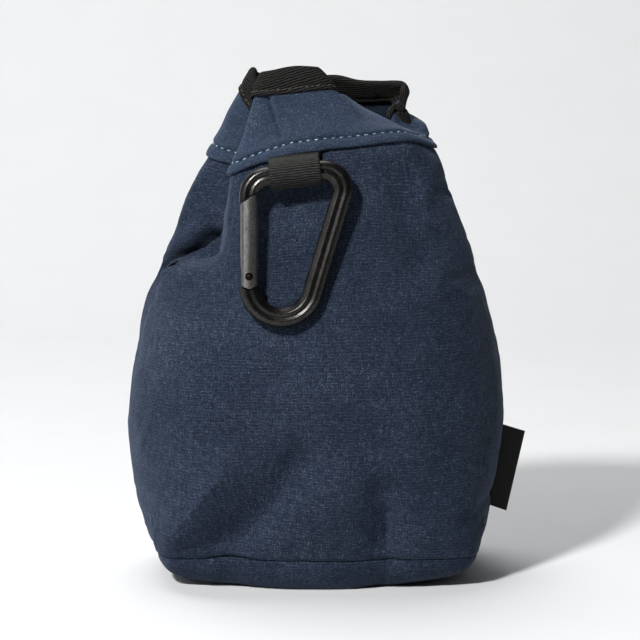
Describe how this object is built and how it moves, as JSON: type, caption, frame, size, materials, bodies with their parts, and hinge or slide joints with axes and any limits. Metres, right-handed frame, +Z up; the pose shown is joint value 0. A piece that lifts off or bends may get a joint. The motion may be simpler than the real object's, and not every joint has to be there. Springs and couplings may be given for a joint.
{
  "type": "rangefinder pouch",
  "caption": "Soft boxed cloth pouch for a pocket rangefinder, with a tucked collar, a taped mouth, a side label and a gated clip hung from a webbing loop.",
  "frame": {"origin": "on the flat underside of the base, below the middle of the bag", "axes": "+Z up towards the mouth, -Y out of the front that carries the clip, +X towards the side with the label"},
  "size_m": [0.1371, 0.0856, 0.1753],
  "materials": {
    "panel_cloth": "woven, heathered navy",
    "collar_cloth": "smooth woven, navy",
    "black_tape": "twill tape",
    "black_webbing": "ribbed webbing",
    "dark_metal": "dark anodised, satin"
  },
  "bodies": {
    "bag": {"front_panel": "panel_cloth", "back_panel": "panel_cloth", "base_panel": "panel_cloth", "collar": "collar_cloth", "mouth_tape": "black_tape", "clip_loop": "black_webbing", "side_label": "black_webbing"},
    "clip": {"clip_frame": "dark_metal", "gate_rivet": "dark_metal"},
    "gate": {"clip_gate": "dark_metal"}
  },
  "joints": [
    {"name": "clip_swing", "type": "hinge", "parent": "bag", "child": "clip", "pos_m": [-0.0082, -0.03294, 0.14041], "axis": [-0.9928, -0.0196, -0.1185], "range_deg": [0, 90]},
    {"name": "gate_hinge", "type": "hinge", "parent": "clip", "child": "gate", "pos_m": [-0.02329, -0.03851, 0.10666], "axis": [0, 0.9866, -0.163], "range_deg": [0, 28], "stiffness_Nm_per_rad": 0.05, "springref_deg": -28.65}
  ]
}
